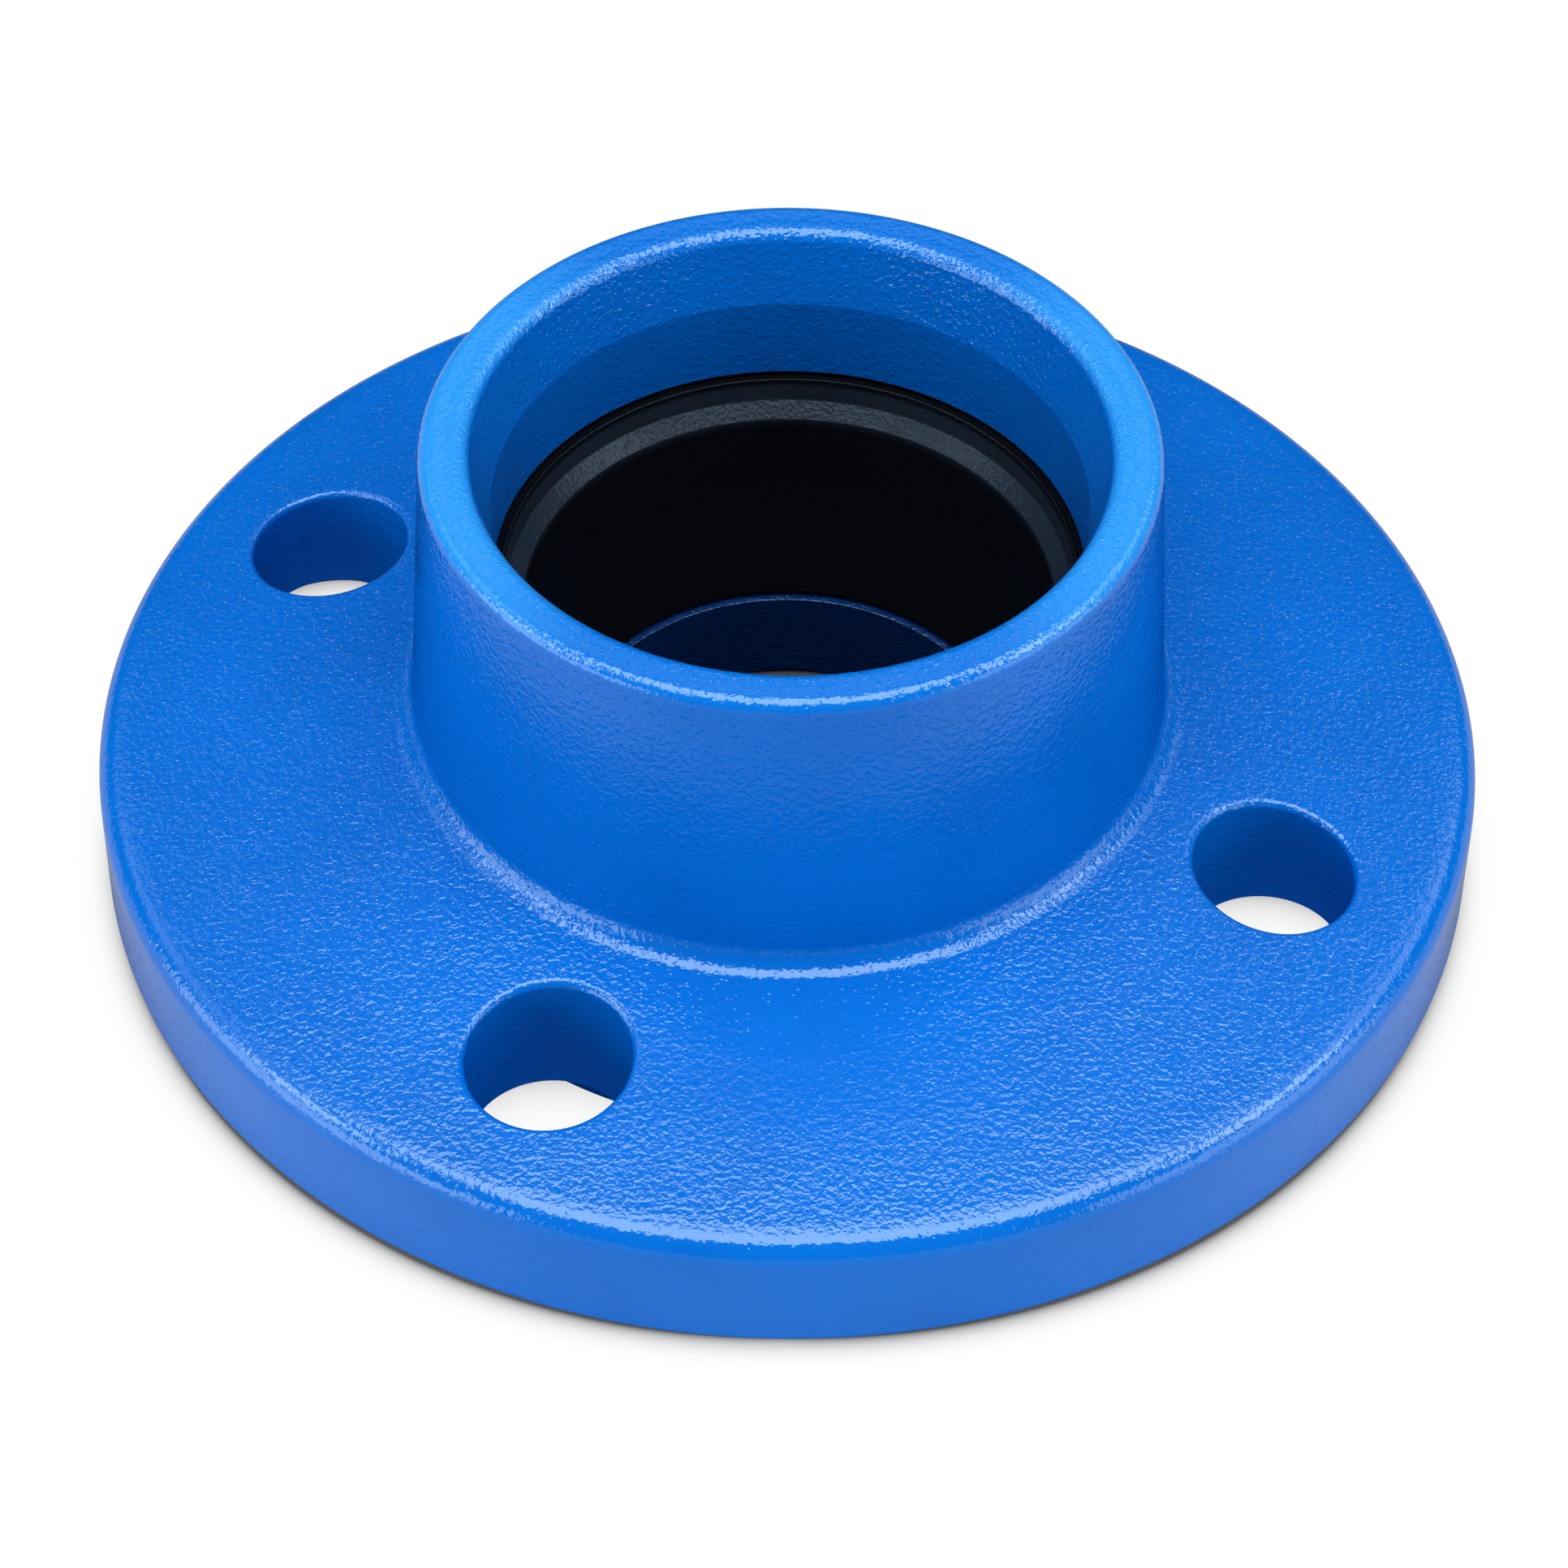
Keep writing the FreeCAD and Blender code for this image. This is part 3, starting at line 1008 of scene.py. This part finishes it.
@dataclass(frozen=True)
class StudioFloor:
    """The pale floor, with a soft shadow where the object stands and light under its bolt holes.

    The floor's width and its horizon are in metres, and its other lengths in mm. A side runs from
    0 in front of the object or behind it to 1 on its left and right.
    """

    width: float = 8.0
    glow: float = 0.93
    horizon: Span = (0.15, 0.45)
    veil: float = 0.08
    # Painted shade: the paint that diffuse rays meet is near black under the object and pale further
    # out.
    paint: Span = (0.02, 0.95)
    painted_shade_radii: Span = (45.0, 52.0)
    # Painted reflection: to a reflected ray the floor glows, dark under and round the object and
    # brighter to its left and right.
    mirror: Span = (0.23, 0.46)
    mirror_sides: Span = (0.2, 0.85)
    mirror_radii: Span = (79.0, 88.0)
    shadow_radius: float = 79.37
    shadow_side: float = 2.1
    shadow_fade: float = 1.12
    pool_radius: float = 14.5
    pool_fade: float = 1.7
    pool_shade: float = 0.3
    pool_limit: float = 10.0
    under_radii: Span = (30.0, 60.0)
    under_light: Span = (0.012, 0.08)

    def pools(self, bench: NodeBench, place: Socket) -> Socket:
        """Work out the light that falls through the bolt holes, by folding them onto one.

        Args:
            bench: The floor's node tree.
            place: The point on the floor.

        Returns:
            The light, 1 at most under a hole.
        """
        turned = bench.add("ShaderNodeVectorRotate", {"rotation_type": "Z_AXIS"}, Vector=place,
                           Angle=-math.radians(FlangeCasting.turn)).outputs[0]
        folded = bench.parts(bench.vector("ABSOLUTE", turned))
        along = bench.minus(bench.larger(folded["X"], folded["Y"]),
                            FlangeCasting.bolt_circle * MM)
        across = bench.math("MINIMUM", folded["X"], folded["Y"])
        past = bench.minus(bench.hypot(along, across), self.pool_radius * MM)
        edge = bench.math("MINIMUM", bench.math("DIVIDE", past, self.pool_fade * MM),
                          self.pool_limit)
        return bench.minus(1.0, bench.times(bench.math("EXPONENT", edge), self.pool_shade))

    def light(self, bench: NodeBench, place: Socket, radius: Socket, side: Socket) -> Socket:
        """Work out how much light reaches the floor round the flange and under its bolt holes.

        Args:
            bench: The floor's node tree.
            place: The point on the floor.
            radius: Its distance from the socket's axis.
            side: How far it lies to the side.

        Returns:
            The floor's brightness from 0 to 1.
        """
        past = bench.minus(bench.minus(radius, self.shadow_radius * MM),
                           bench.times(side, self.shadow_side * MM))
        outside = bench.minus(1.0, bench.decay(past, self.shadow_fade * MM))
        under = bench.span(radius, metres(self.under_radii), self.under_light)
        pools = self.pools(bench, place)
        return bench.math("MAXIMUM", under, bench.larger(outside, pools), clamp=True)

    def material(self) -> bpy.types.Material:
        """Build the paint: white to the camera with a painted shadow, dimmer in a reflection and, to
        other rays, pale with painted shade under the object.

        Returns:
            The material.
        """
        made = bpy.data.materials.new("studio_floor_paint")
        bench = NodeBench.of(made)
        place = bench.place()
        radius = bench.vector("LENGTH", place)
        sideways = bench.math("ABSOLUTE", bench.parts(place)["X"])
        side = bench.math("DIVIDE", sideways, radius)
        light = self.light(bench, place, radius, side)
        # Painted shade under the object in the paint that diffuse rays meet.
        shaded_tone = bench.blend(bench.span(radius, metres(self.painted_shade_radii)),
                           *[grey(level) for level in self.paint])
        paint = bench.add("ShaderNodeBsdfDiffuse", Color=shaded_tone)
        veil = bench.add("ShaderNodeBsdfDiffuse", Color=grey(self.veil))
        glow = bench.span(radius, self.horizon, (self.glow, 1.0))
        seen = bench.add("ShaderNodeEmission", Color=grey(1.0), Strength=bench.times(light, glow))
        white = bench.add("ShaderNodeAddShader")
        bench.put(white, 0, seen.outputs[0])
        bench.put(white, 1, veil.outputs[0])
        # Painted reflection: the floor's glow in a reflection, dark under the object as painted
        # shade and brighter towards its left and right as painted light.
        mirror = bench.span(side, self.mirror_sides, self.mirror)
        mirrored = bench.add("ShaderNodeEmission", Color=grey(1.0), Strength=bench.span(
            radius, metres(self.mirror_radii), (0.0, mirror)))
        reflected = bench.choose(bench.rays(Rays.GLOSSY, Rays.TRANSMISSION), paint, mirrored)
        answer = bench.choose(bench.rays(Rays.CAMERA), reflected, white)
        bench.add("ShaderNodeOutputMaterial", Surface=answer.outputs[0])
        return made

    def lay(self) -> None:
        """Lay the floor."""
        bpy.ops.object.select_all(action="DESELECT")
        bpy.ops.mesh.primitive_plane_add(size=self.width, location=(0, 0, 0))
        floor = bpy.context.object
        floor.name = "studio_floor"
        floor.data.materials.append(self.material())


@dataclass(frozen=True)
class StudioRoom:
    """The dim room round the object, which the camera sees as white.

    A reflection shows a glow behind the overhead softbox and a wing on each side of it. Angles are
    in degrees: a lean is from overhead towards the back, and a side from overhead outwards.
    """

    fill: Span = (0.42, 0.16)
    dimmest: float = 0.006
    glow: float = 0.13
    glow_start: Span = (15.0, 18.0)
    glow_lean: float = 28.0
    glow_fade: float = 12.0
    glow_ends: Span = (0.42, 0.70)
    glow_tilt: float = 0.8
    glow_spread: float = 3.4
    glow_middle: float = 0.12
    left_wing: float = 0.7
    right_wing: float = 1.2
    wing_bottom: Span = (12.0, 18.0)
    wing_top: Span = (44.0, 52.0)
    wing_inner: Span = (30.0, 33.0)
    wing_outer: Span = (50.0, 60.0)

    def back_glow(self, bench: NodeBench, across: Socket, lean: Socket) -> Socket:
        """Work out the glow behind the softbox, which is brighter towards its ends.

        Args:
            bench: The world's node tree.
            across: The direction's X.
            lean: The direction's lean in radians.

        Returns:
            The brightness by direction.
        """
        past = bench.larger(bench.minus(lean, math.radians(self.glow_lean)), 0.0)
        fall = bench.decay(past, math.radians(self.glow_fade))
        begun = bench.span(lean, radians(self.glow_start))
        sideways = bench.math("ABSOLUTE", across)
        aside = bench.span(sideways, self.glow_ends, FALL)
        tilt = bench.plus(bench.times(across, self.glow_tilt), bench.plus(
            bench.times(sideways, self.glow_spread), self.glow_middle))
        return bench.times(bench.times(fall, begun), bench.times(aside, tilt), self.glow)

    def sheen(self, bench: NodeBench) -> Socket:
        """Work out how bright the room is in a reflection.

        Args:
            bench: The world's node tree.

        Returns:
            The brightness by direction.
        """
        way = bench.way()
        lean = bench.math("ARCTAN2", way["Y"], way["Z"])
        side = bench.math("ARCTAN2", way["X"], way["Z"])
        shown = bench.plus(self.back_glow(bench, way["X"], lean), self.dimmest)
        height = bench.times(bench.span(lean, radians(self.wing_bottom)),
                             bench.span(lean, radians(self.wing_top), FALL))
        for sign, strength in ((-1.0, self.left_wing), (1.0, self.right_wing)):
            out = bench.times(side, sign)
            width = bench.times(bench.span(out, radians(self.wing_inner)),
                                bench.span(out, radians(self.wing_outer), FALL))
            shown = bench.plus(shown, bench.times(width, height, strength))
        return shown

    def surround(self) -> None:
        """Set the room round the object."""
        world = bpy.data.worlds.new("studio_room")
        bench = NodeBench.of(world)
        fill = bench.span(bench.way()["Y"], (-1.0, 0.0), self.fill)
        plain, dim, white = [
            bench.add("ShaderNodeBackground", Color=grey(1.0), Strength=strength)
            for strength in (fill, self.sheen(bench), 1.0)
        ]
        room = bench.choose(bench.rays(Rays.GLOSSY, Rays.TRANSMISSION), plain, dim)
        answer = bench.choose(bench.rays(Rays.CAMERA), room, white)
        bench.add("ShaderNodeOutputWorld", Surface=answer.outputs[0])
        bpy.context.scene.world = world


@dataclass(frozen=True)
class PhotoCamera:
    """The camera, fitted to the outlines in the photograph.

    Lengths are in metres, the sensor's width in mm and angles in radians. The focal length and the
    photograph's width are in its pixels.
    """

    distance: float = 0.6297415
    rise: float = 0.8081995
    yaw: float = 0.00060265
    pitch: float = 0.00423589
    roll: float = -0.01134671
    centre_height: float = 0.003
    focal_pixels: float = 6347.08
    photo_pixels: float = 1932.0
    sensor_width: float = 36.0
    clip: Span = (0.05, 20.0)

    def stand(self) -> None:
        """Stand the camera where the photograph was taken from."""
        back = self.distance * math.cos(self.rise)
        away = Vector((0, -back, self.distance * math.sin(self.rise)))
        forward = -away.normalized()
        right = Vector((1, 0, 0))
        turn = Matrix.Rotation(self.yaw, 3, right.cross(forward))
        forward, right = turn @ forward, turn @ right
        forward = Matrix.Rotation(self.pitch, 3, right) @ forward
        right = Matrix.Rotation(self.roll, 3, forward) @ right
        up = right.cross(forward)
        data = bpy.data.cameras.new("photo_camera")
        data.sensor_width = self.sensor_width
        data.lens = self.sensor_width * self.focal_pixels / self.photo_pixels
        data.clip_start, data.clip_end = self.clip
        camera = bpy.data.objects.new("photo_camera", data)
        facing = Matrix((right, up, -forward)).transposed().to_4x4()
        spot = away + Vector((0, 0, self.centre_height))
        camera.matrix_world = Matrix.Translation(spot) @ facing
        bpy.context.scene.collection.objects.link(camera)
        bpy.context.scene.camera = camera


@dataclass(frozen=True)
class Studio:
    """The camera, the floor, the room and the lamps, which face a target."""

    target: Place = (0.0, 0.0, 0.02)
    lamps: tuple[Lamp, ...] = (
        Lamp("overhead_softbox", -90.0, 81.8, 1.0, 1.06, 0.76, 2.6),
        Lamp("overhead_skirt", -90.0, 85.0, 1.02, 1.12, 0.90, 1.1),
        Lamp("left_high_lamp", -168.0, 39.0, 1.0, 0.34, 0.36, 4.0),
        Lamp("right_high_lamp", -8.0, 43.0, 1.0, 0.40, 0.36, 4.4),
        Lamp("left_panel", -158.0, 12.0, 1.1, 1.20, 0.50, 2.1),
        Lamp("right_panel", -22.0, 12.0, 1.1, 1.00, 0.50, 1.4),
        Lamp("back_lamp", 90.0, 46.0, 1.2, 0.40, 0.44, 0.36),
    )

    def build(self) -> None:
        """Set up the whole studio."""
        PhotoCamera().stand()
        StudioFloor().lay()
        StudioRoom().surround()
        for lamp in self.lamps:
            lamp.place(Vector(self.target))
            log.info("lamp %s: brightness %.2f", lamp.name, lamp.brightness)
        bpy.context.scene.view_settings.view_transform = "Standard"


def dress(piece: bpy.types.Object, material: bpy.types.Material, node: str) -> None:
    """Give a finished piece its material and let it stand for its solid.

    Args:
        piece: The finished piece.
        material: Its material.
        node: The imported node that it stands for.
    """
    piece.data.materials.clear()
    piece.data.materials.append(material)
    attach(piece, "root")
    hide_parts(node)
    log.info("%s: %d faces, stands for %s", piece.name, len(piece.data.polygons), node)


def main() -> None:
    """Build the adapter's two pieces and the studio."""
    logging.basicConfig(level=logging.INFO, format="%(name)s: %(message)s")
    dress(FlangeCasting().build(), EpoxyCoating().material(), "flange_body")
    dress(LipSeal().build(), MouldedRubber().material(), "pipe_seal")
    Studio().build()


if __name__ == "__main__":
    main()
